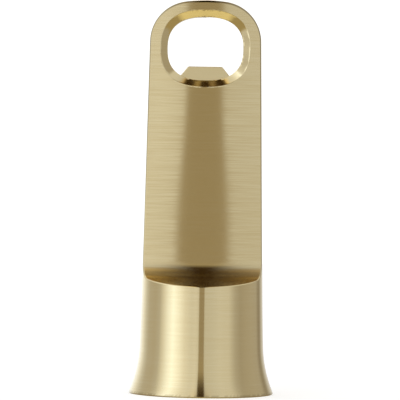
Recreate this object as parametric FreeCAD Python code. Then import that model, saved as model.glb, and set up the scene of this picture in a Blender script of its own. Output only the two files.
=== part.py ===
import FreeCAD, Part
import math
import os

# Standing souvenir bottle opener shaped like a hand bell, in millimetres.
# Origin: centre of the rim, in the plane the bell stands on. +Z runs up the
# handle, the broad faces of the handle look along -Y (front) and +Y (back).

V = FreeCAD.Vector
ORIGIN, X_AXIS, Y_AXIS, Z_AXIS = V(0, 0, 0), V(1, 0, 0), V(0, 1, 0), V(0, 0, 1)

# Overall form: the whole casting is turned first, then cut away into a handle
HEIGHT = 126.0
RIM_RADIUS = 23.2
FLARE_TOP_Z, FLARE_TOP_RADIUS, FLARE_ARC, FLARE_SLOPE = 15.0, 19.86, 37.5, 0.034
WAIST_Z, WAIST_RADIUS = 34.0, 19.36
WAIST_MID_Z, WAIST_MID_RADIUS = 24.5, 19.57
CROWN_Z, CROWN_RADIUS = 112.5, 17.92      # where the straight taper ends
RIM_EDGE = 0.35

# Rounded top of the handle, seen from the front
TOP_ARC = 50.0
SHOULDER_ARC = 13.2
SHOULDER_X = CROWN_RADIUS - SHOULDER_ARC + 0.03

# The two scoops that leave the blade standing on the bell
BLADE_HALF_THICKNESS = 4.0                # at the middle of the crowned face
BLADE_CROWN = 175.0                       # radius of the crowned face
SCOOP_FILLET = 6.0
LEDGE_FRONT_Z = 34.7                      # height of the ledge at its outer edge
LEDGE_FRONT_Y = 19.4
LEDGE_SLOPE = 9.6                         # degrees, falling outwards
EDGE = 0.45                               # eased outer edges

# Cap opening: a squared oval, straight in the middle, flared to both faces
OPENING_Z = 110.35
OPENING_HALF = (12.1, 10.1)               # half width, half height of the straight part
OPENING_MOUTH = (14.3, 12.3)              # the same where the flare meets the face
OPENING_POWER = 2.5                       # 2 is an ellipse, larger is squarer
LAND_HALF = 1.95                          # half length of the straight part
MOUTH_Y = 3.7                             # depth at which OPENING_MOUTH is reached
MOUTH_EDGE = 0.3
OUTLINE_POINTS = 48

# Lifting tooth: a plate pressed into a slot under the opening
TOOTH_HALF_THICKNESS = 1.75
TOOTH_TIP_Z, TOOTH_TIP_HALF, TOOTH_TIP_CORNER = 104.65, 5.45, 0.8
TOOTH_FOOT_Z, TOOTH_FOOT_HALF = 101.7, 7.85
TOOTH_NECK_Z = 97.0                       # bottom of the tang
TOOTH_EDGE = 0.25
BITE = 0.03                               # interference of pressed and threaded fits

# Hollow of the bell, with the boss that carries the clapper
WALL = 2.6
CAVITY_ROOF_Z, CAVITY_CORNER = 31.0, 8.0
BOSS_RADIUS, BOSS_Z, BOSS_FILLET = 3.5, 28.5, 1.5

# Screw-in hanger eye, ring standing in the YZ plane
SHANK_RADIUS, SHANK_TOP_Z = 1.25, 35.0
COLLAR_RADIUS, COLLAR_Z, COLLAR_EDGE = 2.2, 27.6, 0.15
HANGER_RING, HANGER_WIRE, HANGER_Z = 2.0, 0.75, 24.7
NECK_RADIUS = 1.0

# Link in the XZ plane, hooked through the hanger eye
RUNNING_GAP = 0.05
LINK_RING, LINK_WIRE = 2.4, 0.6
LINK_Z = HANGER_Z - HANGER_RING + HANGER_WIRE + LINK_WIRE + RUNNING_GAP - LINK_RING

# Clapper: a rod bent into an eye in the YZ plane, with a ball pressed on
ROD_RING, ROD_WIRE = 2.0, 0.6
ROD_RING_Z = LINK_Z - LINK_RING + LINK_WIRE + ROD_WIRE + RUNNING_GAP - ROD_RING
ROD_RADIUS, ROD_END_Z = 0.8, 4.5
BALL_RADIUS, BALL_Z = 5.5, 7.0
BALL_NECK_RADIUS, BALL_NECK_Z = (2.6, 1.3), 13.6


def through(*points):
    """Arc through three (r, z) points in the XZ plane."""
    return Part.Arc(*[V(r, 0, z) for r, z in points]).toShape()


def straight(*points):
    """Line between two (r, z) points in the XZ plane."""
    return Part.LineSegment(*[V(r, 0, z) for r, z in points]).toShape()


def turned(edges):
    """Solid of revolution about Z from a closed profile in the XZ plane."""
    return Part.Face(Part.Wire(edges)).revolve(ORIGIN, Z_AXIS, 360)


def flare_radius(z, inset=0.0):
    """Radius of the flared skirt at height z, from its large concave arc."""
    drop = FLARE_TOP_Z - z
    return FLARE_TOP_RADIUS + FLARE_SLOPE * drop + drop * drop / (2 * FLARE_ARC) - inset


def skirt_points(inset):
    """Three heights of the flare, rim first, at a given wall inset."""
    return [(flare_radius(z, inset), z) for z in (0.0, FLARE_TOP_Z / 2, FLARE_TOP_Z)]


def turned_blank():
    """The casting before the handle is cut: skirt, waist and long straight taper."""
    rim, middle, flare_top = skirt_points(0.0)
    taper = (CROWN_RADIUS - WAIST_RADIUS) / (CROWN_Z - WAIST_Z)
    top = (CROWN_RADIUS + taper * (HEIGHT - CROWN_Z), HEIGHT)
    blank = turned([
        straight((0, 0), rim),
        through(rim, middle, flare_top),
        through(flare_top, (WAIST_MID_RADIUS, WAIST_MID_Z), (WAIST_RADIUS, WAIST_Z)),
        straight((WAIST_RADIUS, WAIST_Z), top),
        straight(top, (0, HEIGHT)),
        straight((0, HEIGHT), (0, 0))])
    rim_edge = [e for e in blank.Edges
                if e.BoundBox.ZMax < 0.01 and e.BoundBox.XLength > 2 * RIM_RADIUS - 1]
    return blank.makeFillet(RIM_EDGE, rim_edge)


def front_outline():
    """Prism that rounds off the top of the handle, seen from the front."""
    shoulder_z = CROWN_Z
    reach = TOP_ARC - SHOULDER_ARC
    rise = math.sqrt(reach * reach - SHOULDER_X * SHOULDER_X)
    top_centre_z = shoulder_z - rise
    lift = HEIGHT - (top_centre_z + TOP_ARC)
    shoulder_z += lift
    top_centre_z += lift
    join = (TOP_ARC * SHOULDER_X / reach, top_centre_z + TOP_ARC * rise / reach)
    lean = math.radians(45)
    mid = (SHOULDER_X + SHOULDER_ARC * math.cos(lean), shoulder_z + SHOULDER_ARC * math.sin(lean))
    side = (SHOULDER_X + SHOULDER_ARC, shoulder_z)
    wide = 2 * RIM_RADIUS

    def mirrored(point):
        return (-point[0], point[1])

    edges = [
        straight(side, (wide, shoulder_z)), straight((wide, shoulder_z), (wide, -1)),
        straight((wide, -1), (-wide, -1)), straight((-wide, -1), (-wide, shoulder_z)),
        straight((-wide, shoulder_z), mirrored(side)),
        through(mirrored(side), mirrored(mid), mirrored(join)),
        through(mirrored(join), (0, HEIGHT), join),
        through(join, mid, side)]
    return Part.Face(Part.Wire(edges)).extrude(V(0, 4 * wide, 0)).translated(V(0, -2 * wide, 0))


def front_scoop():
    """Cutter for the front scoop: crowned blade face, fillet, sloping ledge."""
    half_width, reach = 1.2 * RIM_RADIUS, 3 * RIM_RADIUS
    slope = math.tan(math.radians(LEDGE_SLOPE))
    low_z = LEDGE_FRONT_Z - slope * (reach - LEDGE_FRONT_Y)
    high_z = LEDGE_FRONT_Z + slope * LEDGE_FRONT_Y
    corners = [V(-half_width, -reach, low_z), V(-half_width, 0, high_z),
               V(-half_width, 0, HEIGHT + 5), V(-half_width, -reach, HEIGHT + 5)]
    wedge = Part.Face(Part.makePolygon(corners + corners[:1])).extrude(V(2 * half_width, 0, 0))
    crown = Part.makeCylinder(BLADE_CROWN, 2 * HEIGHT,
                              V(0, BLADE_CROWN - BLADE_HALF_THICKNESS, -HEIGHT / 2))
    cutter = wedge.cut(crown)
    inner = [e for e in cutter.Edges
             if e.BoundBox.ZMax < LEDGE_FRONT_Z + 8 and e.BoundBox.YMin > -RIM_RADIUS
             and e.BoundBox.XLength > half_width]
    return cutter.makeFillet(SCOOP_FILLET, inner)


def squared_oval(half, y):
    """Closed outline of the cap opening at depth y."""
    points = []
    for i in range(OUTLINE_POINTS):
        turn = 2 * math.pi * i / OUTLINE_POINTS
        c, s = math.cos(turn), math.sin(turn)
        power = 2.0 / OPENING_POWER
        points.append(V(math.copysign(half[0] * abs(c) ** power, c), y,
                        OPENING_Z + math.copysign(half[1] * abs(s) ** power, s)))
    curve = Part.BSplineCurve()
    curve.interpolate(points, PeriodicFlag=True)
    return Part.Wire(curve.toShape())


def opening_cutter():
    """Cutter for the cap opening: straight throat, flared towards each face."""
    depth = 2 * (MOUTH_Y - LAND_HALF)
    flared = [h + 2 * (m - h) for h, m in zip(OPENING_HALF, OPENING_MOUTH)]
    return Part.makeLoft([squared_oval(flared, -LAND_HALF - depth),
                          squared_oval(OPENING_HALF, -LAND_HALF),
                          squared_oval(OPENING_HALF, LAND_HALF),
                          squared_oval(flared, LAND_HALF + depth)], True, True)


def cavity():
    """Hollow of the bell, leaving the boss for the hanger eye."""
    rim, middle, flare_top = skirt_points(WALL)
    below = (rim[0] + 0.4, -1.0)
    wall_top = (WAIST_MID_RADIUS - WALL, CAVITY_ROOF_Z - CAVITY_CORNER)
    corner_x = wall_top[0] - CAVITY_CORNER
    bend = CAVITY_CORNER * math.sqrt(0.5)
    corner_mid = (corner_x + bend, wall_top[1] + bend)
    boss_mid_x = BOSS_RADIUS + BOSS_FILLET * (1 - math.sqrt(0.5))
    boss_mid_z = CAVITY_ROOF_Z - BOSS_FILLET * (1 - math.sqrt(0.5))
    boss_side = (BOSS_RADIUS, CAVITY_ROOF_Z - BOSS_FILLET)
    boss_top = (BOSS_RADIUS + BOSS_FILLET, CAVITY_ROOF_Z)
    return turned([
        straight((0, below[1]), below),
        straight(below, rim),
        through(rim, middle, flare_top),
        straight(flare_top, wall_top),
        through(wall_top, corner_mid, (corner_x, CAVITY_ROOF_Z)),
        straight((corner_x, CAVITY_ROOF_Z), boss_top),
        through(boss_top, (boss_mid_x, boss_mid_z), boss_side),
        straight(boss_side, (BOSS_RADIUS, BOSS_Z)),
        straight((BOSS_RADIUS, BOSS_Z), (0, BOSS_Z)),
        straight((0, BOSS_Z), (0, below[1]))])


def tooth_slot():
    """Slot under the opening that grips the tang of the tooth plate."""
    half, thick = TOOTH_FOOT_HALF - BITE, TOOTH_HALF_THICKNESS - BITE
    return Part.makeBox(2 * half, 2 * thick, TOOTH_FOOT_Z + 1 - TOOTH_NECK_Z,
                        V(-half, -thick, TOOTH_NECK_Z))


def shared_edges(body, first, second):
    """Edges of body whose middle lies on the skins of two other solids."""
    skins = (first.Shells[0], second.Shells[0])
    found = []
    for edge in body.Edges:
        middle = Part.Vertex(edge.valueAt((edge.FirstParameter + edge.LastParameter) / 2))
        if all(skin.distToShape(middle)[0] < 0.01 for skin in skins):
            found.append(edge)
    return found


def opener_body():
    """One casting: bell, blade and opening ring."""
    blank = turned_blank().common(front_outline())
    scoops = [front_scoop(), front_scoop().rotated(ORIGIN, Z_AXIS, 180)]
    opening = opening_cutter()
    body = blank.cut(scoops[0]).cut(scoops[1]).cut(opening)
    for scoop in scoops:
        body = body.makeFillet(EDGE, shared_edges(body, blank, scoop))
        body = body.makeFillet(MOUTH_EDGE, shared_edges(body, opening, scoop))
    screw_hole = upright(SHANK_RADIUS - BITE, BOSS_Z - 1, SHANK_TOP_Z)
    return body.cut(cavity()).cut(screw_hole).cut(tooth_slot())


def tooth_plate():
    """Trapezoidal lifting tooth; its tang sits in the slot below the opening."""
    outline = [V(x, -TOOTH_HALF_THICKNESS, z) for x, z in (
        (-TOOTH_FOOT_HALF, TOOTH_NECK_Z), (-TOOTH_FOOT_HALF, TOOTH_FOOT_Z),
        (-TOOTH_TIP_HALF, TOOTH_TIP_Z), (TOOTH_TIP_HALF, TOOTH_TIP_Z),
        (TOOTH_FOOT_HALF, TOOTH_FOOT_Z), (TOOTH_FOOT_HALF, TOOTH_NECK_Z))]
    plate = Part.Face(Part.makePolygon(outline + outline[:1]))
    plate = plate.extrude(V(0, 2 * TOOTH_HALF_THICKNESS, 0))
    corners = [e for e in plate.Edges if abs(e.CenterOfMass.z - TOOTH_TIP_Z) < 0.01
               and e.BoundBox.YLength > TOOTH_HALF_THICKNESS]
    plate = plate.makeFillet(TOOTH_TIP_CORNER, corners)
    rims = [e for e in plate.Edges if e.BoundBox.YLength < 0.01
            and e.CenterOfMass.z > TOOTH_NECK_Z + 0.01]
    return plate.makeFillet(TOOTH_EDGE, rims)


def wire_ring(radius, wire, z, axis):
    """Closed ring of round wire centred on the axis of the bell."""
    return Part.makeTorus(radius, wire, V(0, 0, z), axis)


def upright(radius, bottom_z, top_z):
    """Round bar on the axis of the bell."""
    return Part.makeCylinder(radius, top_z - bottom_z, V(0, 0, bottom_z))


def hanger_eye():
    """Screw eye: ring, neck, collar against the boss, threaded shank."""
    ring_top = HANGER_Z + HANGER_RING
    eye = wire_ring(HANGER_RING, HANGER_WIRE, HANGER_Z, X_AXIS)
    eye = eye.fuse(upright(NECK_RADIUS, ring_top, BOSS_Z))
    collar = upright(COLLAR_RADIUS, COLLAR_Z, BOSS_Z)
    collar = collar.makeChamfer(COLLAR_EDGE, collar.Edges)
    return eye.fuse(collar).fuse(upright(SHANK_RADIUS, BOSS_Z - 0.2, SHANK_TOP_Z))


def clapper_rod():
    """Rod with its upper end closed into an eye round the link."""
    ring_bottom = ROD_RING_Z - ROD_RING
    rod = upright(ROD_RADIUS, ROD_END_Z, ring_bottom)
    return wire_ring(ROD_RING, ROD_WIRE, ROD_RING_Z, X_AXIS).fuse(rod)


def clapper_ball():
    """Ball with a short neck, bored to press on the rod."""
    ball = Part.makeSphere(BALL_RADIUS, V(0, 0, BALL_Z))
    neck = Part.makeCone(BALL_NECK_RADIUS[0], BALL_NECK_RADIUS[1], BALL_NECK_Z - BALL_Z,
                         V(0, 0, BALL_Z))
    bore = upright(ROD_RADIUS - BITE, ROD_END_Z, HEIGHT)
    return ball.fuse(neck).cut(bore)


PARTS = {
    "opener_body": opener_body,
    "tooth_plate": tooth_plate,
    "hanger_eye": hanger_eye,
    "hanger_link": lambda: wire_ring(LINK_RING, LINK_WIRE, LINK_Z, Y_AXIS),
    "clapper_rod": clapper_rod,
    "clapper_ball": clapper_ball,
}

os.makedirs("parts", exist_ok=True)
for name, build in PARTS.items():
    build().removeSplitter().exportStep("parts/" + name + ".step")
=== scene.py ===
import math

import bmesh
import bpy
import numpy as np
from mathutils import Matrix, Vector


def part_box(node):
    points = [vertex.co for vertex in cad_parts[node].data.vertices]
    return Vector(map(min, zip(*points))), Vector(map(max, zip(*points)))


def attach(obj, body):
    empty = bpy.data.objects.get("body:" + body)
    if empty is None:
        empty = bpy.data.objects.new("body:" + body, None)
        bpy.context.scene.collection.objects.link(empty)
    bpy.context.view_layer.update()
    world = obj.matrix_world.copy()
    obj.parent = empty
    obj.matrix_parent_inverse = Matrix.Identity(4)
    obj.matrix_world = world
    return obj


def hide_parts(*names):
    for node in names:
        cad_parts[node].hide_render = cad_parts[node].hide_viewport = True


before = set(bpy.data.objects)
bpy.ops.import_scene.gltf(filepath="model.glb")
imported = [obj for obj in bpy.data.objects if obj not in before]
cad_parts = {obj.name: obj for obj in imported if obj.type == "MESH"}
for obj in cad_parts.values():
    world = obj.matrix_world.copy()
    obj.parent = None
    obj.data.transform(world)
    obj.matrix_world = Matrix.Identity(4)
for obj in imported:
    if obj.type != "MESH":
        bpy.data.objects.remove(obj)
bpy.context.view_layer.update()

MM = 0.001

# ---------------------------------------------------------------------------
# Casting: bell, blade and opening ring in one piece. It is turned to the flared
# outline, milled away front and back to leave the blade, then brushed crosswise
# and lacquered. Every edge is eased by hand, so nothing on it is truly sharp.
# ---------------------------------------------------------------------------
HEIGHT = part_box("opener_body")[1][2] / MM
FLARE_Z, FLARE_RADIUS, FLARE_SLOPE, FLARE_ARC = 15.0, 19.86, 0.034, 37.5
WAIST_Z, WAIST_RADIUS, TAPER, WAIST_BOW = 34.0, 19.36, 0.018344, 0.00042
TOP_ARC, SHOULDER_ARC, CROWN_RADIUS = 50.0, 13.2, 17.92
BLADE_HALF = 4.0
CROWN_LOW, CROWN_HIGH = 217.0, 146.0
CROWN_FROM_Z, CROWN_TO_Z = 48.0, 98.0
SCOOP_FILLET, LEDGE_FRONT_Z, LEDGE_FRONT_Y = 6.0, 34.7, 19.4
LEDGE_TILT = math.radians(9.6)
EDGE, TOP_EDGE, TOP_EDGE_Z = 0.45, 0.8, 118.0
OPENING_Z, OPENING_POWER = 110.35, 2.5
THROAT, MOUTH, LAND = (12.1, 10.1), (14.3, 12.3), 1.95
MOUTH_EDGE, THROAT_EDGE = 0.3, 0.25
# Shading only: the flare's normals are turned off its flat surface, inward at the sides
FLARE_POLISH = np.array([1.42, 1.0, 0.90])
WALL, RIM_EDGE = 2.6, 0.35
ROOF_Z, ROOF_CORNER = 31.0, 8.0
BOSS_RADIUS, BOSS_Z, BOSS_FILLET = 3.5, 28.5, 1.5
LEDGE_SPAN = math.radians(72)
LEDGE_COLUMNS, SIDE_COLUMNS, SKIRT_ROWS = 97, 9, 56
CUT_Z = 93.0
# Edge tone: pale where positive, rubbed metal with a painted highlight; dark where negative, a painted shade
# line
LEDGE_WEAR_AND_HIGHLIGHT, FOOT_EDGE_SHADE, HEAD_EDGE_SHADE, RIM_EDGE_SHADE, LIP_ROWS = 0.1, -0.4, -1.0, -0.45, 7
EDGE_SHADE_FROM_Z, EDGE_SHADE_RUN = 50, 50


def unit(v):
    return v / np.linalg.norm(v, axis=-1, keepdims=True)


def smooth(t):
    t = np.clip(t, 0.0, 1.0)
    return t * t * (3 - 2 * t)


def side_radius(z):
    """Radius of the turned outline at height z."""
    z = np.asarray(z, float)
    taper = WAIST_RADIUS + TAPER * (WAIST_Z - z) + WAIST_BOW * np.clip(WAIST_Z - z, 0, None) ** 2
    drop = FLARE_Z - z
    flare = FLARE_RADIUS + FLARE_SLOPE * drop + drop ** 2 / (2 * FLARE_ARC)
    return np.where(z < FLARE_Z, flare, taper)


def turned_normal(x, y, z):
    """Outward normal of the turned surface."""
    slope = (side_radius(z + 0.01) - side_radius(z - 0.01)) / 0.02
    radial = np.hypot(x, y)
    return unit(np.stack([x / radial, y / radial, -slope], -1))


def blade_depth(x, z):
    """Distance of the crowned blade face in front of the middle plane."""
    crown = CROWN_LOW + (CROWN_HIGH - CROWN_LOW) * smooth((z - CROWN_FROM_Z) / (CROWN_TO_Z - CROWN_FROM_Z))
    return BLADE_HALF - x * x / (2 * crown)


SWEEP = math.pi / 2 - LEDGE_TILT
ARC_LENGTH = SCOOP_FILLET * SWEEP
TILT_C, TILT_S = math.cos(LEDGE_TILT), math.sin(LEDGE_TILT)


def ledge_height(y):
    return LEDGE_FRONT_Z + math.tan(LEDGE_TILT) * (LEDGE_FRONT_Y + y)


def fillet_centre(x):
    y = -(blade_depth(x, CROWN_FROM_Z) + SCOOP_FILLET)
    return y, ledge_height(y) + SCOOP_FILLET / TILT_C


def scoop_point(x, s):
    """Front scoop: s runs in along the ledge (negative), round the fillet, up the face."""
    yc, zc = fillet_centre(x)
    angle = -SWEEP + np.clip(s, 0, ARC_LENGTH) / SCOOP_FILLET
    y = yc + SCOOP_FILLET * np.cos(angle) + np.minimum(s, 0) * TILT_C
    z = zc + SCOOP_FILLET * np.sin(angle) + np.minimum(s, 0) * TILT_S + np.maximum(s - ARC_LENGTH, 0)
    y = np.where(s > ARC_LENGTH, -blade_depth(x, z), y)
    return np.stack([x + 0 * s, y, z], -1)


def scoop_normal(x, s):
    step = 0.02
    across = scoop_point(x + step, s) - scoop_point(x - step, s)
    along = scoop_point(x, s + step) - scoop_point(x, s - step)
    return unit(np.cross(across, along))


def scoop_s(x, y, z):
    yc, zc = fillet_centre(x)
    angle = np.arctan2(z - zc, y - yc)
    foot_y, foot_z = yc + SCOOP_FILLET * TILT_S, zc - SCOOP_FILLET * TILT_C
    on_ledge = (y - foot_y) * TILT_C + (z - foot_z) * TILT_S
    on_fillet = SCOOP_FILLET * (angle + SWEEP)
    return np.where(z > zc, ARC_LENGTH + z - zc, np.where(on_ledge < 0, on_ledge, on_fillet))


def scoop_depth(p):
    """How deep a point lies in the metal behind the front scoop."""
    x, y, z = p[..., 0], p[..., 1], p[..., 2]
    yc, zc = fillet_centre(x)
    s = scoop_s(x, y, z)
    under_ledge = (ledge_height(y) - z) * TILT_C
    in_corner = np.hypot(y - yc, z - zc) - SCOOP_FILLET
    return np.where(s > ARC_LENGTH, y + blade_depth(x, z), np.where(s < 0, under_ledge, in_corner))


def solve(depth_at, low, high):
    """Bisection for depth_at(v) = 0, with depth_at positive at low."""
    for _ in range(45):
        middle = (low + high) / 2
        inside = depth_at(middle) > 0
        low, high = np.where(inside, middle, low), np.where(inside, high, middle)
    return (low + high) / 2


def swing(a, b, steps):
    """Unit vectors turning evenly from a to b, as rows."""
    turn = np.arccos(np.clip(np.sum(a * b, -1, keepdims=True), -1, 1))
    rows = []
    for t in np.linspace(0, 1, steps + 1):
        rows.append(unit(np.sin((1 - t) * turn) * a + np.sin(t * turn) * b))
    return np.stack(rows)


def eased_corner(p, d1, d2, radius, steps):
    """Round a convex corner p between surface directions d1 and d2: points and normals."""
    half = np.arccos(np.clip(np.sum(d1 * d2, -1, keepdims=True), -1, 1)) / 2
    centre = p + unit(d1 + d2) * radius / np.sin(half)
    start, end = p + d1 * radius / np.tan(half), p + d2 * radius / np.tan(half)
    normals = swing(unit(start - centre), unit(end - centre), steps)
    return centre + radius * normals, normals


class Shell:
    """Grids of points with their exact normals, welded into one closed mesh."""

    def __init__(self):
        self.points, self.normals, self.faces = [], [], []
        self.edges, self.skins, self.coarse = [], [], []

    def grid(self, points, normals, closed=False, edge=0.0, skin=0.0, coarse=0.0):
        rows, columns = points.shape[:2]
        first = sum(len(p) for p in self.points)
        self.points.append(points.reshape(-1, 3))
        self.normals.append(np.broadcast_to(normals, points.shape).reshape(-1, 3))
        for store, value in ((self.edges, edge), (self.skins, skin), (self.coarse, coarse)):
            store.append(np.broadcast_to(value, (rows, columns)).reshape(-1))
        index = first + np.arange(rows * columns).reshape(rows, columns)
        right = np.roll(index, -1, 1)
        if not closed:
            index, right = index[:, :-1], right[:, :-1]
        quads = np.stack([index[:-1], right[:-1], right[1:], index[1:]], -1).reshape(-1, 4)
        a, b, c, d = [self.flat()[quads[:, k]] for k in range(4)]
        facing = np.sum(np.cross(c - a, d - b) * np.concatenate(self.normals)[quads[:, 0]], -1)
        self.faces.append(quads if np.sum(facing) > 0 else quads[:, ::-1])

    def flat(self):
        return np.concatenate(self.points)

    def object(self, name, material, weld=0.002):
        mesh = bpy.data.meshes.new(name)
        mesh.from_pydata(self.flat() * MM, [], np.concatenate(self.faces).tolist())
        normals = mesh.attributes.new("shell_normal", "FLOAT_VECTOR", "POINT")
        normals.data.foreach_set("vector", np.concatenate(self.normals).ravel())
        # The edge values carry painted highlight and painted shade lines as well as rubbed metal
        for label, values in (("wear_highlight_shade", self.edges), ("skin", self.skins), ("coarse", self.coarse)):
            mesh.attributes.new(label, "FLOAT", "POINT").data.foreach_set("value", np.concatenate(values))
        bm = bmesh.new()
        bm.from_mesh(mesh)
        bmesh.ops.remove_doubles(bm, verts=bm.verts, dist=weld * MM)
        bmesh.ops.dissolve_degenerate(bm, dist=0.2 * weld * MM, edges=bm.edges)
        bm.to_mesh(mesh)
        bm.free()
        values = np.empty(3 * len(mesh.vertices))
        mesh.attributes["shell_normal"].data.foreach_get("vector", values)
        mesh.attributes.remove(mesh.attributes["shell_normal"])
        mesh.shade_smooth()
        mesh.normals_split_custom_set_from_vertices(unit(values.reshape(-1, 3)).tolist())
        mesh.materials.append(material)
        piece = bpy.data.objects.new(name, mesh)
        bpy.context.scene.collection.objects.link(piece)
        return piece


FLIP_X, FLIP_Y = np.array([-1.0, 1, 1]), np.array([1.0, -1, 1])

# Crest where the scoop meets the outside: first round the ledge, by bearing
bearing = np.linspace(-LEDGE_SPAN, LEDGE_SPAN, LEDGE_COLUMNS)


def skirt_point(z):
    radius = side_radius(z)
    return np.stack([radius * np.sin(bearing), -radius * np.cos(bearing), z], -1)


def skirt_depth(z):
    p = skirt_point(z)
    return scoop_depth(p - EDGE * turned_normal(p[:, 0], p[:, 1], p[:, 2])) - EDGE


ledge_z = solve(skirt_depth, np.full(LEDGE_COLUMNS, 28.0), np.full(LEDGE_COLUMNS, 60.0))
ledge_out = skirt_point(ledge_z)
ledge_out_normal = turned_normal(*ledge_out.T)

# ... then up the right side of the blade, round the shoulder and to the middle of the top
lean = math.atan(TAPER)
shoulder_x = CROWN_RADIUS - SHOULDER_ARC * math.cos(lean)
top_z = HEIGHT - TOP_ARC
reach = TOP_ARC - SHOULDER_ARC
shoulder_z = top_z + math.sqrt(reach ** 2 - shoulder_x ** 2)
side_end = shoulder_z + SHOULDER_ARC * math.sin(lean)
turn_angle = math.atan2(shoulder_z - top_z, shoulder_x)
low_z = ledge_z[-1]
side_z = np.concatenate([np.linspace(low_z, 48, 16)[:-1], np.linspace(48, CUT_Z, 42)[:-1],
                         np.linspace(CUT_Z, side_end, 18)])
cut_index = int(np.argmin(abs(side_z - CUT_Z)))
shoulder_turn = np.linspace(lean, turn_angle, 25)[1:]
top_turn = np.linspace(turn_angle, math.pi / 2, 17)[1:]
outline_turn = np.concatenate([np.full(len(side_z), lean), shoulder_turn, top_turn])
outline_x = np.concatenate([side_radius(side_z), shoulder_x + SHOULDER_ARC * np.cos(shoulder_turn),
                            TOP_ARC * np.cos(top_turn)])
outline_z = np.concatenate([side_z, shoulder_z + SHOULDER_ARC * np.sin(shoulder_turn),
                            top_z + TOP_ARC * np.sin(top_turn)])
on_side = np.arange(len(outline_x)) < len(side_z)
end_radius = float(side_radius(side_end))


def outline_point(y):
    """Point and normal of the outside at depth y, for every step of the outline."""
    sag = end_radius - np.sqrt(end_radius ** 2 - y * y)
    nx, nz = np.cos(outline_turn), np.sin(outline_turn)
    bent = np.stack([outline_x - nx * sag, y, outline_z - nz * sag], -1)
    bent_normal = np.stack([nx * np.sqrt(1 - (y / end_radius) ** 2), y / end_radius,
                            nz * np.sqrt(1 - (y / end_radius) ** 2)], -1)
    radius = side_radius(outline_z)
    turned = np.stack([np.sqrt(radius ** 2 - y * y), y, outline_z], -1)
    mask = on_side[:, None]
    return (np.where(mask, turned, bent),
            np.where(mask, turned_normal(turned[:, 0], turned[:, 1], turned[:, 2]), bent_normal))


crest_edge = EDGE + (TOP_EDGE - EDGE) * smooth((outline_z - TOP_EDGE_Z) / (HEIGHT - TOP_EDGE_Z))


def outline_depth(y):
    p, n = outline_point(y)
    return scoop_depth(p - crest_edge[:, None] * n) - crest_edge


crest_y = solve(outline_depth, np.full(len(outline_x), -0.5), np.full(len(outline_x), -9.0))
crest_out, crest_normal = outline_point(crest_y)

# Whole front crest as one closed loop: ledge, right side, top, left side
half = slice(1, len(outline_x))
loop_out = np.concatenate([ledge_out, crest_out[half], (crest_out * FLIP_X)[-2:0:-1]])
loop_normal = np.concatenate([ledge_out_normal, crest_normal[half], (crest_normal * FLIP_X)[-2:0:-1]])
loop_edge = np.concatenate([np.full(LEDGE_COLUMNS, EDGE), crest_edge[half], crest_edge[-2:0:-1]])[:, None]
centre = loop_out - loop_edge * loop_normal
loop_s = scoop_s(*centre.T)
face_normal = scoop_normal(centre[:, 0], loop_s)
strip_normal = swing(loop_normal, face_normal, 6)
strip = centre + loop_edge * strip_normal
face_loop = strip[-1]
face_x, face_s = face_loop[:, 0], scoop_s(*face_loop.T)

# Cap opening seen on the face: a squared oval round which the face is gridded
right_first = LEDGE_COLUMNS - 1
right_cut = right_first + cut_index
left_cut = len(loop_out) - cut_index
right_side = np.arange(right_first, right_cut + 1)
left_side = np.concatenate([[0], np.arange(len(loop_out) - 1, left_cut - 1, -1)])
cut_x = np.linspace(face_x[left_cut], face_x[right_cut], LEDGE_COLUMNS)
cut_s = np.full(LEDGE_COLUMNS, (face_s[left_cut] + face_s[right_cut]) / 2)
cut_s[0], cut_s[-1] = face_s[left_cut], face_s[right_cut]
around = np.arange(right_cut + 1, left_cut)
outer_x = np.concatenate([cut_x, face_x[around]])
outer_s = np.concatenate([cut_s, face_s[around]])
outer = scoop_point(outer_x, outer_s)
aim = np.arctan2((outer[:, 2] - OPENING_Z) / MOUTH[1], outer[:, 0] / MOUTH[0])
reach_out = (abs(np.cos(aim)) ** OPENING_POWER + abs(np.sin(aim)) ** OPENING_POWER) ** (-1 / OPENING_POWER)
oval = np.stack([np.cos(aim) * reach_out, np.sin(aim) * reach_out], -1)
mouth_x, mouth_z = MOUTH[0] * oval[:, 0], OPENING_Z + MOUTH[1] * oval[:, 1]
mouth = np.stack([mouth_x, -blade_depth(mouth_x, mouth_z), mouth_z], -1)
throat = np.stack([THROAT[0] * oval[:, 0], np.full(len(aim), -LAND), OPENING_Z + THROAT[1] * oval[:, 1]], -1)
power = OPENING_POWER - 1
outward = unit(np.stack([np.sign(oval[:, 0]) * abs(oval[:, 0]) ** power / MOUTH[0], 0 * aim,
                         np.sign(oval[:, 1]) * abs(oval[:, 1]) ** power / MOUTH[1]], -1))
in_face = outward.copy()
in_face[:, 1] = -(blade_depth(mouth_x + 0.1 * outward[:, 0], mouth_z + 0.1 * outward[:, 2])
                  - blade_depth(mouth_x, mouth_z)) / 0.1
in_face = unit(in_face)
ruling = unit(throat - mouth)
mouth_arc, mouth_arc_normal = eased_corner(mouth, in_face, ruling, MOUTH_EDGE, 5)
along_y = np.broadcast_to(np.array([0.0, 1, 0]), throat.shape)
throat_arc, throat_arc_normal = eased_corner(throat, -ruling, along_y, THROAT_EDGE, 4)
flare_normal = unit(mouth_arc_normal[-1] * FLARE_POLISH)
inner_x, inner_s = mouth_arc[0][:, 0], scoop_s(*mouth_arc[0].T)
# Painted shade line along the blade's eased border, darker towards the head; the ledge's border paler, rubbed
# metal with a painted highlight
side_edge_shade = FOOT_EDGE_SHADE + (HEAD_EDGE_SHADE - FOOT_EDGE_SHADE) * smooth((centre[:, 2] - EDGE_SHADE_FROM_Z) / EDGE_SHADE_RUN)
crest_wear_and_shade = np.where(np.arange(len(loop_out)) < LEDGE_COLUMNS, LEDGE_WEAR_AND_HIGHLIGHT, side_edge_shade)

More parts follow.
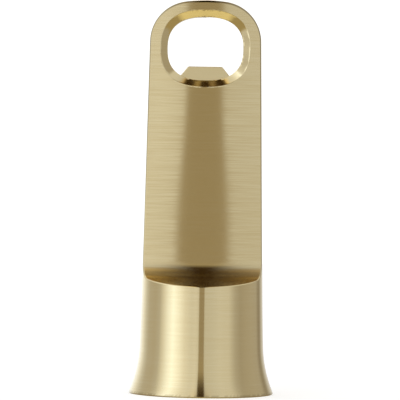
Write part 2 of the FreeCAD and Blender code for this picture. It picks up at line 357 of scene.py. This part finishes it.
casting = Shell()
for side in (np.ones(3), FLIP_Y):
    # Lower face, fillet and ledge as one four-sided patch
    bottom = np.stack([face_x[:LEDGE_COLUMNS], face_s[:LEDGE_COLUMNS]], -1)
    top = np.stack([cut_x, cut_s], -1)
    left = np.stack([face_x[left_side], face_s[left_side]], -1)
    right = np.stack([face_x[right_side], face_s[right_side]], -1)
    u = np.linspace(0, 1, LEDGE_COLUMNS)[None, :, None]
    run = (right[:, 1] - right[0, 1]) / (right[-1, 1] - right[0, 1])
    v = run[:, None, None]
    patch = ((1 - v) * bottom[None] + v * top[None] + (1 - u) * left[:, None] + u * right[:, None]
             - (1 - v) * ((1 - u) * bottom[0] + u * bottom[-1]) - v * ((1 - u) * top[0] + u * top[-1]))
    patch_x, patch_s = patch[..., 0], patch[..., 1]
    casting.grid(scoop_point(patch_x, patch_s) * side, scoop_normal(patch_x, patch_s) * side,
                 coarse=smooth((patch_s - 0.5 * ARC_LENGTH) / ARC_LENGTH))
    # Head of the blade, gridded round the opening
    t = (np.linspace(0, 1, 15) ** 1.2)[:, None]
    ring_x, ring_s = (1 - t) * inner_x + t * outer_x, (1 - t) * inner_s + t * outer_s
    casting.grid(scoop_point(ring_x, ring_s) * side, scoop_normal(ring_x, ring_s) * side, closed=True,
                 coarse=1.0)
    # Eased crest, eased mouth, polished flare, eased throat and the short land
    # Eased edges carry painted tone: a shade line on the crest's sides, rubbed metal with a painted highlight
    # on ledge, mouth and throat
    casting.grid(strip * side, strip_normal * side, closed=True,
                 edge=np.sin(np.linspace(0, np.pi, 7))[:, None] * crest_wear_and_shade)
    casting.grid(mouth_arc * side, mouth_arc_normal * side, closed=True,
                 edge=0.5 * np.sin(np.linspace(0, np.pi, 6))[:, None])
    t = np.linspace(0, 1, 6)[:, None, None]
    casting.grid(((1 - t) * mouth_arc[-1] + t * throat_arc[0]) * side, flare_normal * side,
                 closed=True, skin=-1.0)
    casting.grid(throat_arc * side, throat_arc_normal * side, closed=True,
                 edge=0.5 * np.sin(np.linspace(0, np.pi, 5))[:, None])
    t = np.linspace(0, 1, 4)[:, None, None]
    casting.grid(((1 - t) * throat_arc[-1] + t * throat_arc[-1] * np.array([1.0, 0, 1])) * side,
                 throat_arc_normal[-1] * side, closed=True)

# Narrow outer side of the blade, from the right ledge tip over the top to the left one
share = np.linspace(-1, 1, SIDE_COLUMNS)
side_rows = [outline_point(-crest_y * k) for k in share]
rows = np.stack([r[0] for r in side_rows])
row_normals = np.stack([r[1] for r in side_rows])
casting.grid(np.concatenate([rows, (rows * FLIP_X)[:, -2::-1]], 1),
             np.concatenate([row_normals, (row_normals * FLIP_X)[:, -2::-1]], 1))

# Skirt of the bell, up to the ledges and to the feet of the blade's sides
right_foot = rows[1:-1, 0]
top_loop = np.concatenate([ledge_out, right_foot, (ledge_out * FLIP_Y)[::-1], (right_foot * FLIP_X)[::-1]])
lip_normal = turned_normal(np.array([side_radius(RIM_EDGE)]), np.zeros(1), np.array([RIM_EDGE]))[0]
rim_z = RIM_EDGE * (1 + lip_normal[2])
compass = np.arctan2(top_loop[:, 0], -top_loop[:, 1])
height = rim_z + (top_loop[:, 2] - rim_z) * np.linspace(0, 1, SKIRT_ROWS)[:, None]
radius = side_radius(height)
skirt = np.stack([radius * np.sin(compass), -radius * np.cos(compass), height], -1)
skirt[-1] = top_loop
casting.grid(skirt, turned_normal(skirt[..., 0], skirt[..., 1], skirt[..., 2]), closed=True)

# Rim, hollow of the bell, roof and boss, turned round the axis
lip = turned_normal(np.array([side_radius(rim_z)]), np.zeros(1), np.array([rim_z]))[0]
lip_r = float(side_radius(rim_z)) - RIM_EDGE * lip[0]
profile = []


def arc(cr, cz, radius, start, stop, steps, facing=1):
    """Rounded stretch of a turned profile: radius, height and normal at each step."""
    angles = np.radians(np.linspace(start, stop, steps + 1))
    return [(cr + radius * math.cos(k), cz + radius * math.sin(k), facing * math.cos(k), facing * math.sin(k))
            for k in angles]


def wall(z):
    return float(side_radius(z)) - WALL


profile += arc(lip_r, rim_z - RIM_EDGE * lip[2], RIM_EDGE, math.degrees(math.atan2(lip[2], lip[0])), -90, 6)
inner_r = wall(RIM_EDGE) + RIM_EDGE
profile += [(r, 0.0, 0.0, -1.0) for r in np.linspace(lip_r, inner_r, 5)[1:-1]]
profile += arc(inner_r, RIM_EDGE, RIM_EDGE, -90, -180, 5)
inner_z = [np.linspace(RIM_EDGE, FLARE_Z, 22)[1:], np.linspace(FLARE_Z, ROOF_Z - ROOF_CORNER, 7)[1:-1]]
for z in np.concatenate(inner_z):
    n = turned_normal(np.array([side_radius(z)]), np.zeros(1), np.array([z]))[0]
    profile.append((wall(z), z, -n[0], -n[2]))
corner_r = wall(ROOF_Z - ROOF_CORNER) - ROOF_CORNER
profile += arc(corner_r, ROOF_Z - ROOF_CORNER, ROOF_CORNER, 0, 90, 16, -1)
profile += [(r, ROOF_Z, 0.0, -1.0) for r in np.linspace(corner_r, BOSS_RADIUS + BOSS_FILLET, 5)[1:-1]]
profile += arc(BOSS_RADIUS + BOSS_FILLET, ROOF_Z - BOSS_FILLET, BOSS_FILLET, 90, 180, 8, -1)
profile += arc(BOSS_RADIUS - 0.25, BOSS_Z + 0.25, 0.25, 0, -90, 4)
profile += [(r, BOSS_Z, 0.0, -1.0) for r in (2.2, 1.2, 0.0)]
profile = np.array(profile)


def spun(r, z, angles):
    """Profile values carried round the axis of the bell."""
    turn = np.stack([np.sin(angles), -np.cos(angles)], -1)
    flat = turn[None] * r[:, None, None]
    return np.concatenate([flat, np.broadcast_to(z[:, None, None], flat.shape[:2] + (1,))], -1)


step_of = np.arange(len(profile))
# Painted shade line round the rounded rim
rim_edge_shade = (step_of < LIP_ROWS) * RIM_EDGE_SHADE
cast_skin = smooth((step_of - 9) / 8)
casting.grid(spun(profile[:, 0], profile[:, 1], compass), spun(profile[:, 2], profile[:, 3], compass),
             closed=True, edge=rim_edge_shade[:, None], skin=cast_skin[:, None])


class Graph:
    """Shader nodes of one material; sockets are wrapped so that maths reads as maths."""

    def __init__(self, tree):
        self.tree = tree
        tree.nodes.clear()

    def node(self, kind, settings=None, **inputs):
        made = self.tree.nodes.new(kind)
        for key, value in (settings or {}).items():
            setattr(made, key, value)
        for key, value in inputs.items():
            self.feed(made.inputs[key.replace("_", " ")], value)
        return made

    def feed(self, socket, value):
        if isinstance(value, Signal):
            self.tree.links.new(value.socket, socket)
        else:
            socket.default_value = value

    def signal(self, kind, output=0, settings=None, **inputs):
        return Signal(self, self.node(kind, settings, **inputs).outputs[output])

    def maths(self, operation, *values, clamp=False):
        made = self.node("ShaderNodeMath", {"operation": operation, "use_clamp": clamp})
        for socket, value in zip(made.inputs, values):
            self.feed(socket, value)
        return Signal(self, made.outputs[0])

    def blend(self, factor, a, b, kind="MIX"):
        made = self.node("ShaderNodeMix", {"data_type": "RGBA", "blend_type": kind})
        for socket, value in ((made.inputs[0], factor), (made.inputs[6], a), (made.inputs[7], b)):
            self.feed(socket, value)
        return Signal(self, made.outputs[2])

    def noise(self, vector, scale, detail=3.0, roughness=0.5):
        return self.signal("ShaderNodeTexNoise", Vector=vector, Scale=scale, Detail=detail,
                           Roughness=roughness)

    def stretched(self, scale):
        made = self.node("ShaderNodeMapping", {"vector_type": "POINT"}, Scale=scale)
        self.feed(made.inputs["Vector"], self.signal("ShaderNodeTexCoord", "Object"))
        return Signal(self, made.outputs[0])


class Signal:
    def __init__(self, graph, socket):
        self.graph, self.socket = graph, socket

    def __add__(self, other):
        return self.graph.maths("ADD", self, other)

    def __sub__(self, other):
        return self.graph.maths("SUBTRACT", self, other)

    def __rsub__(self, other):
        return self.graph.maths("SUBTRACT", other, self)

    def __mul__(self, other):
        return self.graph.maths("MULTIPLY", self, other)

    __radd__, __rmul__ = __add__, __mul__

    def between(self, low, high):
        return self.graph.maths("MULTIPLY", self - low, 1.0 / (high - low), clamp=True)


COARSE_SPREAD = 0.05
# Colour of the painted shade line along dark edges
EDGE_SHADE = (0.20, 0.15, 0.07, 1)
BRASS = (0.88, 0.755, 0.455, 1)
BRASS_DEEP = (0.80, 0.64, 0.33, 1)
BRASS_PALE = (0.93, 0.83, 0.58, 1)


def brushed_metal(name, colours, roughness, grain, directional=0.9, lacquer=0.25, turn=0.25):
    """Satin metal brushed level: fine scratches, uneven sheen, edges paled by rubbing and a painted highlight
    and darkened by a painted shade line, dull cast skin.
    """
    material = bpy.data.materials.new(name)
    material.use_nodes = True
    g = Graph(material.node_tree)
    base, deep, pale = colours
    level = g.noise(g.stretched((70, 70, 3600)), 1.0, 3.0, 0.6)
    endwise = g.noise(g.stretched((70, 2600, 2600)), 1.0, 3.0, 0.6)
    facing_up = g.maths("ABSOLUTE", g.signal("ShaderNodeSeparateXYZ", "Z",
                                             Vector=g.signal("ShaderNodeNewGeometry", "Normal")))
    scratch = level + (endwise - level) * facing_up.between(0.6, 0.9)
    stroke = g.noise(g.stretched((35, 35, 1500)), 1.0, 2.0, 0.5)
    cloud = g.noise(g.stretched((45, 45, 45)), 1.0, 2.0, 0.5)
    pitting = g.noise(g.stretched((700, 700, 700)), 1.0, 4.0, 0.65)
    wear_highlight_shade = g.signal("ShaderNodeAttribute", "Fac", {"attribute_name": "wear_highlight_shade"})
    skin = g.signal("ShaderNodeAttribute", "Fac", {"attribute_name": "skin"})
    coarse = g.signal("ShaderNodeAttribute", "Fac", {"attribute_name": "coarse"})
    as_cast, polished = g.maths("MAXIMUM", skin, 0.0), g.maths("MAXIMUM", 0.0 - skin, 0.0)
    tint = g.blend(scratch.between(0.35, 0.65) * 0.35, base, deep)
    tint = g.blend(cloud.between(0.35, 0.75) * 0.2, tint, deep)
    tint = g.blend(stroke.between(0.5, 0.8) * 0.15, tint, pale)
    # Edges: pale is rubbed metal with a painted highlight, dark is a painted shade line
    tint = g.blend(wear_highlight_shade * 0.5, tint, pale)
    tint = g.blend(wear_highlight_shade * -0.85, tint, EDGE_SHADE)
    tint = g.blend(as_cast * (0.35 + 0.5 * pitting), tint, deep)
    rough = roughness * (0.85 + 0.3 * scratch) + (stroke - 0.5) * 0.03 - wear_highlight_shade * 0.03
    rough = rough + coarse * scratch.between(0.42, 0.60) * COARSE_SPREAD
    rough = rough + as_cast * (0.42 - rough) - polished * 0.4 * rough
    bump = g.node("ShaderNodeBump", Strength=grain, Distance=0.00002)
    g.feed(bump.inputs["Height"], scratch + 0.4 * stroke + as_cast * pitting * 20.0)
    shader = g.node("ShaderNodeBsdfPrincipled", Metallic=1.0, Anisotropic=directional,
                    Coat_Weight=lacquer, Coat_Roughness=0.12, Coat_IOR=1.45)
    shader.inputs["Anisotropic Rotation"].default_value = turn
    g.feed(shader.inputs["Base Color"], tint)
    g.feed(shader.inputs["Roughness"], rough)
    g.feed(shader.inputs["Normal"], Signal(g, bump.outputs["Normal"]))
    out = g.node("ShaderNodeOutputMaterial")
    g.tree.links.new(shader.outputs[0], out.inputs["Surface"])
    return material


brushed_brass = brushed_metal("brushed_brass", (BRASS, BRASS_DEEP, BRASS_PALE), 0.13, 0.05, 1.0)
opener = casting.object("casting", brushed_brass)
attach(opener, "opener")
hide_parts("opener_body")

# ---------------------------------------------------------------------------
# Lifting tooth: a hardened plate pressed into a slot under the opening, cut to a
# trapezium, eased all round and plated to match the casting. Only the part
# above the throat shows; the tang is hidden in the blade.
# ---------------------------------------------------------------------------
PLATE_HALF, PLATE_EDGE = 1.75, 0.25
TANG_Z, FOOT_HALF, FOOT_Z, TIP_HALF, TIP_Z = 97.0, 7.85, 101.7, 5.45, 104.65
plate_corners = np.array([(-FOOT_HALF, 0, TANG_Z), (-FOOT_HALF, 0, FOOT_Z), (-TIP_HALF, 0, TIP_Z),
                          (TIP_HALF, 0, TIP_Z), (FOOT_HALF, 0, FOOT_Z), (FOOT_HALF, 0, TANG_Z)])
corner_ease = np.array([0.3, 0.5, 0.8, 0.8, 0.5, 0.3])[:, None]
before, after = np.roll(plate_corners, 1, 0), np.roll(plate_corners, -1, 0)
turned_corner, turned_corner_normal = eased_corner(plate_corners, unit(before - plate_corners),
                                                   unit(after - plate_corners), corner_ease, 6)
rim_line = turned_corner.transpose(1, 0, 2).reshape(-1, 3)
rim_out = turned_corner_normal.transpose(1, 0, 2).reshape(-1, 3)
FRONT = np.array([0.0, -1, 0])
ease = np.linspace(0, math.pi / 2, 6)[:, None, None]
forward = PLATE_HALF - PLATE_EDGE * (1 - np.cos(ease))
rolled = rim_line - rim_out * PLATE_EDGE * (1 - np.sin(ease)) + FRONT * forward
rolled_normal = rim_out * np.sin(ease) + FRONT * np.cos(ease)
middle = np.array([0, -PLATE_HALF, (FOOT_Z + TIP_Z) / 2])
tooth = Shell()
for side in (np.ones(3), FLIP_Y):
    # Eased edges painted paler: rubbed metal with a painted highlight
    tooth.grid(rolled * side, rolled_normal * side, closed=True, edge=np.sin(2 * ease[:, :, 0]))
    t = np.linspace(0, 1, 9)[:, None, None]
    tooth.grid(((1 - t) * rolled[0] + t * middle) * side, FRONT * side, closed=True)
t = np.linspace(-1, 1, 5)[:, None, None]
tooth.grid(rolled[-1] * np.array([1.0, 0, 1]) + rolled[-1] * np.array([0, 1.0, 0]) * t, rim_out, closed=True)
plated_steel = brushed_metal("plated_steel", (BRASS, BRASS_DEEP, BRASS_PALE), 0.30, 0.05, 0.9, turn=0.0)
plate = tooth.object("lifting_tooth", plated_steel)
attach(plate, "opener")
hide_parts("tooth_plate")

# ---------------------------------------------------------------------------
# Hanger eye: bright steel wire bent round a pin, its end left just open. The
# shank screws into the boss under the bell's roof, up to the turned collar.
# ---------------------------------------------------------------------------
EYE_RADIUS, EYE_BEND, EYE_END = 2.0, 1.0, math.radians(246)
HANGER_Z, HANGER_WIRE, HANGER_NECK, HANGER_TOP_Z = 24.7, 0.75, 1.0, 28.4
NECK_FROM_Z, NECK_TO_Z = 27.5, 26.0
COLLAR_RADIUS, COLLAR_LOW, COLLAR_DEPTH, COLLAR_EASE, COLLAR_FILLET = 2.2, 27.6, 0.9, 0.15, 0.3
STEEL = ((0.60, 0.59, 0.565, 1), (0.47, 0.46, 0.44, 1), (0.74, 0.73, 0.71, 1))
WIRE_SIDES = 28


def eye_path(eye_z, shank_end, way):
    """Shank along the axis, reverse bend, then round the eye; way is -1 for a shank below it."""
    rise = math.sqrt((EYE_RADIUS + EYE_BEND) ** 2 - EYE_BEND ** 2)
    lean_back = math.atan2(rise, -EYE_BEND)
    points = [(0, z) for z in np.linspace(abs(shank_end - eye_z), rise, 12)[:-1]]
    points += [(EYE_BEND + EYE_BEND * math.cos(k), rise - EYE_BEND * math.sin(k))
               for k in np.linspace(math.pi, lean_back, 10)[:-1]]
    join = lean_back - math.pi
    points += [(EYE_RADIUS * math.cos(k), -EYE_RADIUS * math.sin(k)) for k in np.linspace(join, EYE_END, 72)]
    return [(0, y, eye_z + way * z) for y, z in points]


def wire_tree():
    """Wire swept along a path: thick below or above a height, thinner round the eye."""
    tree = bpy.data.node_groups.new("bent_wire", "GeometryNodeTree")
    tree.interface.new_socket("Path", in_out="INPUT", socket_type="NodeSocketGeometry")
    for label in ("Shank radius", "Eye radius", "Shank height", "Eye height"):
        tree.interface.new_socket(label, in_out="INPUT", socket_type="NodeSocketFloat")
    tree.interface.new_socket("Metal", in_out="INPUT", socket_type="NodeSocketMaterial")
    tree.interface.new_socket("Wire", in_out="OUTPUT", socket_type="NodeSocketGeometry")
    kinds = {"given": "NodeGroupInput", "made": "NodeGroupOutput", "place": "GeometryNodeInputPosition",
             "split": "ShaderNodeSeparateXYZ", "ease": "ShaderNodeMapRange",
             "section": "GeometryNodeCurvePrimitiveCircle", "sweep": "GeometryNodeCurveToMesh",
             "real": "GeometryNodeRealizeInstances", "soft": "GeometryNodeSetShadeSmooth",
             "metal": "GeometryNodeSetMaterial"}
    nodes = {key: tree.nodes.new(kind) for key, kind in kinds.items()}
    nodes["ease"].interpolation_type = "SMOOTHSTEP"
    nodes["section"].inputs["Resolution"].default_value = WIRE_SIDES
    nodes["section"].inputs["Radius"].default_value = 1.0
    nodes["sweep"].inputs["Fill Caps"].default_value = True
    wires = (("given", "Path", "sweep", "Curve"), ("place", "Position", "split", "Vector"),
             ("split", "Z", "ease", "Value"), ("given", "Shank height", "ease", "From Min"),
             ("given", "Eye height", "ease", "From Max"), ("given", "Shank radius", "ease", "To Min"),
             ("given", "Eye radius", "ease", "To Max"), ("ease", "Result", "sweep", "Scale"),
             ("section", "Curve", "sweep", "Profile Curve"),
             ("sweep", "Mesh", "soft", "Geometry"), ("soft", "Geometry", "real", "Geometry"),
             ("real", "Geometry", "metal", "Geometry"), ("given", "Metal", "metal", "Material"),
             ("metal", "Geometry", "made", "Wire"))
    for source, output, target, socket in wires:
        tree.links.new(nodes[source].outputs[output], nodes[target].inputs[socket])
    return tree


bent_wire = wire_tree()


def wire_mesh(name, path, metal, **sizes):
    """Mesh of a bent wire; sizes name the tree's inputs, in millimetres."""
    curve = bpy.data.curves.new(name, "CURVE")
    curve.dimensions = "3D"
    spline = curve.splines.new("POLY")
    spline.points.add(len(path) - 1)
    spline.points.foreach_set("co", [v for p in path for v in (*(c * MM for c in p), 1.0)])
    holder = bpy.data.objects.new(name, curve)
    bpy.context.scene.collection.objects.link(holder)
    modifier = holder.modifiers.new("wire", "NODES")
    modifier.node_group = bent_wire
    for item in bent_wire.interface.items_tree:
        key = item.name.replace(" ", "_").lower()
        if key in sizes:
            modifier[item.identifier] = sizes[key] * MM
        elif item.name == "Metal":
            modifier[item.identifier] = metal
    bpy.context.view_layer.update()
    seen = holder.evaluated_get(bpy.context.evaluated_depsgraph_get())
    mesh = bpy.data.meshes.new_from_object(seen)
    bpy.data.objects.remove(holder)
    return mesh


def metal_piece(name, mesh, body, slot, *nodes):
    """Object at the origin that rides on a body and stands for its CAD nodes."""
    piece = bpy.data.objects.new(name, mesh)
    bpy.context.scene.collection.objects.link(piece)
    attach(piece, body)
    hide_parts(*nodes)
    return piece


bright_steel = brushed_metal("bright_steel", STEEL, 0.24, 0.06, 0.3, 0.0)
eye_mesh = wire_mesh("screw_eye", eye_path(HANGER_Z, HANGER_TOP_Z, 1), bright_steel,
                     shank_radius=HANGER_NECK, eye_radius=HANGER_WIRE, shank_height=NECK_FROM_Z,
                     eye_height=NECK_TO_Z)
collar_r, collar_top = COLLAR_RADIUS - COLLAR_EASE, COLLAR_LOW + COLLAR_DEPTH
collar_profile = [(r, collar_top, 0.0, 1.0) for r in (0.0, 1.0, collar_r)]
collar_profile += arc(collar_r, collar_top - COLLAR_EASE, COLLAR_EASE, 90, 0, 5)
collar_profile += arc(collar_r, COLLAR_LOW + COLLAR_EASE, COLLAR_EASE, 0, -90, 5)
collar_profile += arc(HANGER_NECK + COLLAR_FILLET, COLLAR_LOW - COLLAR_FILLET, COLLAR_FILLET, 90, 180, 6, -1)
collar_profile += [(HANGER_NECK * k, COLLAR_LOW - 0.35, 0.0, -1.0) for k in (0.97, 0.5, 0.0)]
collar_profile = np.array(collar_profile)
around = np.linspace(0, 2 * math.pi, 72, endpoint=False)
collar = Shell()
collar.grid(spun(collar_profile[:, 0], collar_profile[:, 1], around),
            spun(collar_profile[:, 2], collar_profile[:, 3], around), closed=True)
collar_piece = collar.object("collar", bright_steel)
joined = bmesh.new()
joined.from_mesh(eye_mesh)
joined.from_mesh(collar_piece.data)
joined.to_mesh(eye_mesh)
joined.free()
bpy.data.objects.remove(collar_piece)
metal_piece("screw_eye", eye_mesh, "opener", "bright_steel", "hanger_eye")

# ---------------------------------------------------------------------------
# Link: a ring of steel wire hooked through the hanger eye and closed on a butt
# joint, which leaves a hair-thin gap.
# ---------------------------------------------------------------------------
LINK_Z, LINK_RADIUS, LINK_WIRE, BUTT_GAP = 21.7, 2.4, 0.6, 0.05
ring_angles = np.linspace(BUTT_GAP, 2 * math.pi - BUTT_GAP, 97)
link_path = [(LINK_RADIUS * math.cos(k), 0, LINK_Z + LINK_RADIUS * math.sin(k)) for k in ring_angles]
link_mesh = wire_mesh("split_link", link_path, bright_steel, shank_radius=LINK_WIRE, eye_radius=LINK_WIRE,
                      shank_height=0, eye_height=1)
metal_piece("split_link", link_mesh, "link", "bright_steel", "hanger_link")

# ---------------------------------------------------------------------------
# Clapper rod: steel rod whose thinner top is closed into an eye round the link,
# its cut end resting by the shank. The ball is pressed on the lower end.
# ---------------------------------------------------------------------------
ROD_EYE_Z, ROD_WIRE, ROD_SHANK, ROD_END_Z = 18.55, 0.6, 0.8, 4.5
THIN_FROM_Z, THIN_TO_Z = 15.4, 17.2
rod_mesh = wire_mesh("bent_rod", eye_path(ROD_EYE_Z, ROD_END_Z, -1), bright_steel, shank_radius=ROD_SHANK,
                     eye_radius=ROD_WIRE, shank_height=THIN_FROM_Z, eye_height=THIN_TO_Z)
metal_piece("bent_rod", rod_mesh, "clapper", "bright_steel", "clapper_rod")

# ---------------------------------------------------------------------------
# Clapper ball: turned from brass rod with a short neck, bored up the middle and
# pressed on the rod. A small flat is left underneath where it was parted off.
# ---------------------------------------------------------------------------
BALL_RADIUS, BALL_Z, PARTING_FLAT = 5.5, 7.0, 0.7
NECK_FOOT, NECK_TOP, NECK_TOP_Z, NECK_FILLET, NECK_EASE = 1.58, 1.3, 13.6, 0.6, 0.2
parting = math.degrees(math.acos(PARTING_FLAT / BALL_RADIUS))
fillet_r = NECK_FOOT + NECK_FILLET
fillet_lift = math.degrees(math.acos(fillet_r / (BALL_RADIUS + NECK_FILLET)))
fillet_z = BALL_Z + (BALL_RADIUS + NECK_FILLET) * math.sin(math.radians(fillet_lift))
flat_z = BALL_Z - BALL_RADIUS * math.sin(math.radians(parting))
ball_profile = [(r, flat_z, 0.0, -1.0) for r in (0.0, 0.35)]
ball_profile += arc(0, BALL_Z, BALL_RADIUS, -parting, fillet_lift, 64)
ball_profile += arc(fillet_r, fillet_z, NECK_FILLET, 180 + fillet_lift, 180, 6, -1)
ball_profile += arc(NECK_TOP - NECK_EASE, NECK_TOP_Z - NECK_EASE, NECK_EASE, 0, 90, 5)
ball_profile += [(ROD_SHANK, NECK_TOP_Z, 0.0, 1.0), (ROD_SHANK, NECK_TOP_Z, -1.0, 0.0),
                 (ROD_SHANK, ROD_END_Z, -1.0, 0.0), (0.0, ROD_END_Z, 0.0, 1.0)]
ball_profile = np.array(ball_profile)
ball = Shell()
ball.grid(spun(ball_profile[:, 0], ball_profile[:, 1], around),
          spun(ball_profile[:, 2], ball_profile[:, 3], around), closed=True)
turned_brass = brushed_metal("turned_brass", (BRASS, BRASS_DEEP, BRASS_PALE), 0.2, 0.12, 0.8, 0.0)
clapper_ball = ball.object("turned_ball", turned_brass)
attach(clapper_ball, "clapper")
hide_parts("clapper_ball")

# ---------------------------------------------------------------------------
# Floor, light and camera: white floor and backdrop, broad soft light, long lens.
# The floor is clear from below and lies just under the rim, not level with it.
# ---------------------------------------------------------------------------
scene = bpy.context.scene
scene.view_settings.view_transform = "Standard"
scene.view_settings.look = "None"


def plain_white(name, glow, paint):
    """Even white, clear when seen from its underside."""
    material = bpy.data.materials.new(name)
    material.use_nodes = True
    g = Graph(material.node_tree)
    shader = g.node("ShaderNodeBsdfPrincipled", Roughness=0.8)
    shader.inputs["Base Color"].default_value = (paint, paint, paint, 1)
    shader.inputs["Emission Color"].default_value = (1, 1, 1, 1)
    shader.inputs["Emission Strength"].default_value = glow
    sides = g.node("ShaderNodeMixShader")
    underside = g.signal("ShaderNodeNewGeometry", "Backfacing")
    for socket, value in zip(sides.inputs, (underside, Signal(g, shader.outputs[0]),
                                            g.signal("ShaderNodeBsdfTransparent"))):
        g.feed(socket, value)
    out = g.node("ShaderNodeOutputMaterial")
    g.tree.links.new(sides.outputs[0], out.inputs["Surface"])
    return material


FLOOR_RINGS, FLOOR_SIDES, FLOOR_DROP, BACKDROP_RADIUS = (0.05, 0.15, 0.4, 1.0, 1.8), 96, 0.00004, 3.36
ring = bmesh.new()
loops = []
for r in FLOOR_RINGS:
    loops.append([ring.verts.new((r * math.cos(a), r * math.sin(a), 0))
                  for a in np.linspace(0, 2 * math.pi, FLOOR_SIDES, endpoint=False)])
hub = ring.verts.new((0, 0, 0))
for k in range(FLOOR_SIDES):
    ring.faces.new((hub, loops[0][k], loops[0][(k + 1) % FLOOR_SIDES]))
    for inner, outer_ring in zip(loops, loops[1:]):
        ring.faces.new((inner[k], outer_ring[k], outer_ring[(k + 1) % FLOOR_SIDES],
                        inner[(k + 1) % FLOOR_SIDES]))
floor_mesh = bpy.data.meshes.new("floor")
ring.to_mesh(floor_mesh)
ring.free()
floor_mesh.materials.append(plain_white("white_floor", 0.70, 0.50))
floor = bpy.data.objects.new("floor", floor_mesh)
scene.collection.objects.link(floor)
floor.location.z = -FLOOR_DROP
floor.visible_glossy = False

shell_mesh = bpy.data.meshes.new("backdrop")
wall_bm = bmesh.new()
bmesh.ops.create_icosphere(wall_bm, subdivisions=4, radius=BACKDROP_RADIUS)
bmesh.ops.reverse_faces(wall_bm, faces=wall_bm.faces)
wall_bm.to_mesh(shell_mesh)
wall_bm.free()
shell_mesh.materials.append(plain_white("white_backdrop", 1.0, 0.35))
backdrop = bpy.data.objects.new("backdrop", shell_mesh)
scene.collection.objects.link(backdrop)
for way in ("visible_diffuse", "visible_glossy", "visible_transmission", "visible_shadow"):
    setattr(backdrop, way, False)

# Light by bearing round the object, 0 at the camera, negative to its right, carried
# up over the object by the side panels: bearing in degrees, strength, warmth
LIGHTS = ((-180, 0.75, 0.0), (-163, 0.68, 0.1), (-150, 0.52, 0.2), (-140, 0.31, 0.5), (-134, 0.31, 0.5),
          (-124, 0.44, 0.3), (-106, 0.45, 0.3), (-90, 0.43, 0.35), (-78, 0.40, 0.35), (-66, 0.47, 0.2),
          (-52, 0.67, 0.05), (-34, 0.69, 0.0), (-20, 0.64, 0.0), (-5.6, 0.62, 0.05), (-4.7, 0.34, 0.75),
          (4.7, 0.34, 0.75), (5.6, 0.70, 0.05), (11, 0.76, 0.0), (19, 0.74, 0.0), (31, 0.86, 0.0),
          (43, 1.10, -0.2), (55, 1.28, -0.4), (66, 1.05, -0.3), (76, 0.80, 0.0), (86, 0.53, 0.1),
          (98, 0.48, 0.3), (116, 0.50, 0.2), (128, 0.64, 0.0), (142, 0.95, -0.1), (157, 1.10, -0.3))
WARM = (1.0, 0.80, 0.48)
# Darker gap behind the camera, dark roof with golden sides, light from under the rim and the floor
GAP_UPPER = (0.42, 0.355, 0.23, 1)
ROOF_GAP = (0.034, 0.017, 0.004, 1)
ROOF_WING = (0.14, 0.08, 0.016, 1)
ROOF_LEFT, ROOF_RIGHT = (0.95, 0.69, 0.24, 1), (0.52, 0.35, 0.11, 1)
UNDER_RIM = (0.38, 0.31, 0.17, 1)
FLOOR_GLOW = (0.80, 0.70, 0.40, 1)
world = bpy.data.worlds.new("studio")
scene.world = world
world.use_nodes = True
g = Graph(world.node_tree)
ray = g.node("ShaderNodeSeparateXYZ")
g.feed(ray.inputs[0], g.signal("ShaderNodeTexCoord", "Generated"))
rx, ry, rz = [Signal(g, ray.outputs[k]) for k in range(3)]
high = g.maths("ABSOLUTE", rz).between(0.50, 0.64)
behind = ry - high * (ry + g.maths("SQRT", ry * ry + rz * rz))
bearing_now = g.maths("ARCTAN2", 0.0 - rx, 0.0 - behind) * (0.5 / math.pi) + 0.5
ramp = g.node("ShaderNodeValToRGB")
g.feed(ramp.inputs["Fac"], bearing_now)
ramp.color_ramp.interpolation = "LINEAR"
while len(ramp.color_ramp.elements) < len(LIGHTS):
    ramp.color_ramp.elements.new(0.5)
for element, (angle, strength, warmth) in zip(ramp.color_ramp.elements, LIGHTS):
    element.position = (angle + 180) / 360
    element.color = [strength * (1 + (c - 1) * warmth) for c in WARM] + [1]
aside = g.maths("ABSOLUTE", rx)
gap = (1.0 - aside.between(0.078, 0.092)) * (0.0 - behind).between(0.0, 0.1)
sky = g.blend(gap * rz.between(0.08, 0.40), Signal(g, ramp.outputs[0]), GAP_UPPER)
roof = (1.0 - aside.between(0.070, 0.105)) * rz.between(0.36, 0.58)
wing = 0.8 * (1.0 - aside.between(0.09, 0.17)) * rz.between(0.60, 0.72)
shoulder = 0.8 * (1.0 - aside.between(0.14, 0.30)) * rz.between(0.62, 0.80)
bar_width = 1.0 - aside.between(0.09, 0.13)
bar = bar_width * (1.0 - g.maths("ABSOLUTE", ry + 0.27).between(0.10, 0.15)) * rz.between(0.5, 0.6)
sky = g.blend(shoulder, sky, g.blend(rx.between(-0.05, 0.05), ROOF_LEFT, ROOF_RIGHT))
sky = g.blend(wing, sky, ROOF_WING)
sky = g.blend(g.maths("MAXIMUM", roof, bar), sky, ROOF_GAP)
below = 0.0 - rz
sky = g.blend(below.between(0.12, 0.25), sky, UNDER_RIM)
sky = g.blend(below.between(0.80, 0.93), sky, FLOOR_GLOW)
background = g.node("ShaderNodeBackground", Color=sky, Strength=1.0)
out = g.node("ShaderNodeOutputWorld")
g.tree.links.new(background.outputs[0], out.inputs["Surface"])

LENS, CAMERA_DISTANCE, CAMERA_HEIGHT = 246.0, 0.8764, 0.06193
CAMERA_ASIDE, ROLL = -0.00105, -0.0145
camera = bpy.data.objects.new("camera", bpy.data.cameras.new("camera"))
scene.collection.objects.link(camera)
camera.data.lens, camera.data.sensor_width = LENS, 36.0
camera.data.clip_end = 20
camera.location = (CAMERA_ASIDE, -CAMERA_DISTANCE, CAMERA_HEIGHT)
camera.rotation_mode = "XYZ"
camera.rotation_euler = (math.pi / 2, ROLL, 0)
scene.camera = camera
